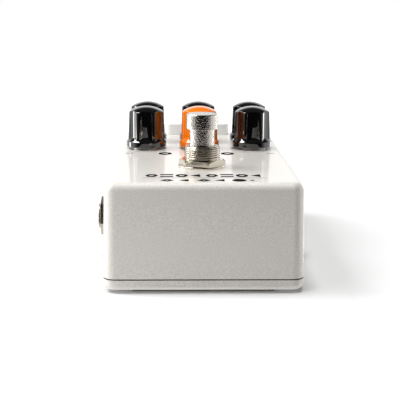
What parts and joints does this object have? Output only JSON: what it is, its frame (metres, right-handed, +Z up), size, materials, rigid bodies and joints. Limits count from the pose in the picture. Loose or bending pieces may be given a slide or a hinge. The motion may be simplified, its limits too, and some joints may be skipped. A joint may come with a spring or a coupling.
{
  "type": "guitar effects pedal",
  "caption": "Compact die-cast guitar effects pedal with fluted control knobs, a threaded footswitch, side plug sockets and a rear power inlet.",
  "frame": {"origin": "centre of the rubber pad's underside, on the surface the pedal stands on", "axes": "+X to the player's right, +Y away from the player towards the rear wall, +Z up"},
  "size_m": [0.0758, 0.1212, 0.0553],
  "materials": {
    "silver_paint": "semi-gloss metallic paint",
    "zinc_steel": "zinc plated",
    "grip_rubber": "matte",
    "circuit_board": "satin solder mask",
    "black_plastic": "matte",
    "capacitor_can": "satin",
    "frosted_plastic": "frosted",
    "nickel": "polished nickel",
    "chrome": "polished",
    "contact_brass": "bright",
    "shaft_metal": "machined",
    "black_gloss": "high gloss",
    "orange_gloss": "high gloss",
    "pointer_white": "matte"
  },
  "bodies": {
    "case": {"base_plate": "silver_paint", "base_screws": "zinc_steel", "board_headers": "black_plastic", "capacitors": "capacitor_can", "control_board": "circuit_board", "enclosure": "silver_paint", "footswitch_bushing": "nickel", "footswitch_case": "black_plastic", "footswitch_contact": "contact_brass", "footswitch_lock_nut": "nickel", "footswitch_lugs": "contact_brass", "footswitch_nut": "nickel", "footswitch_spring": "zinc_steel", "footswitch_washer": "nickel", "grip_pad": "grip_rubber", "input_left_jack_housing": "black_plastic", "input_left_jack_sleeve": "nickel", "input_right_jack_housing": "black_plastic", "input_right_jack_sleeve": "nickel", "jack_nuts": "nickel", "jack_ring_leaves": "contact_brass", "jack_tip_leaves": "contact_brass", "jack_washers": "nickel", "main_board": "circuit_board", "output_left_jack_housing": "black_plastic", "output_left_jack_sleeve": "nickel", "output_right_jack_housing": "black_plastic", "output_right_jack_sleeve": "nickel", "pot_housings": "black_plastic", "pot_nuts": "zinc_steel", "pot_washers": "zinc_steel", "power_contact": "contact_brass", "power_housing": "black_plastic", "power_pin": "contact_brass", "processor_chips": "black_plastic", "status_leds": "frosted_plastic", "status_window": "frosted_plastic"},
    "front_left_control": {"front_left_knob": "black_gloss", "front_left_pointer": "pointer_white", "front_left_shaft": "shaft_metal"},
    "front_center_control": {"front_center_knob": "orange_gloss", "front_center_pointer": "pointer_white", "front_center_shaft": "shaft_metal"},
    "front_right_control": {"front_right_knob": "black_gloss", "front_right_pointer": "pointer_white", "front_right_shaft": "shaft_metal"},
    "rear_left_control": {"rear_left_knob": "black_gloss", "rear_left_pointer": "pointer_white", "rear_left_shaft": "shaft_metal"},
    "rear_center_control": {"rear_center_knob": "black_gloss", "rear_center_pointer": "pointer_white", "rear_center_shaft": "shaft_metal"},
    "rear_right_control": {"rear_right_knob": "black_gloss", "rear_right_pointer": "pointer_white", "rear_right_shaft": "shaft_metal"},
    "button": {"footswitch_button": "chrome"}
  },
  "joints": [
    {"name": "front_left_turn", "type": "hinge", "parent": "case", "child": "front_left_control", "pos_m": [-0.0209, 0.0144, 0.0374], "axis": [0, 0, 1], "range_deg": [-150, 150]},
    {"name": "front_center_turn", "type": "hinge", "parent": "case", "child": "front_center_control", "pos_m": [0, 0.0144, 0.0374], "axis": [0, 0, 1], "range_deg": [-150, 150]},
    {"name": "front_right_turn", "type": "hinge", "parent": "case", "child": "front_right_control", "pos_m": [0.0209, 0.0144, 0.0374], "axis": [0, 0, 1], "range_deg": [-150, 150]},
    {"name": "rear_left_turn", "type": "hinge", "parent": "case", "child": "rear_left_control", "pos_m": [-0.0209, 0.0327, 0.0374], "axis": [0, 0, 1], "range_deg": [-150, 150]},
    {"name": "rear_center_turn", "type": "hinge", "parent": "case", "child": "rear_center_control", "pos_m": [0, 0.0327, 0.0374], "axis": [0, 0, 1], "range_deg": [-150, 150]},
    {"name": "rear_right_turn", "type": "hinge", "parent": "case", "child": "rear_right_control", "pos_m": [0.0209, 0.0327, 0.0374], "axis": [0, 0, 1], "range_deg": [-150, 150]},
    {"name": "button_press", "type": "slide", "parent": "case", "child": "button", "axis": [0, 0, -1], "range_m": [0, 0.002], "stiffness_N_per_m": 3000, "springref_m": -0.003, "deforming": ["footswitch_spring"]}
  ]
}
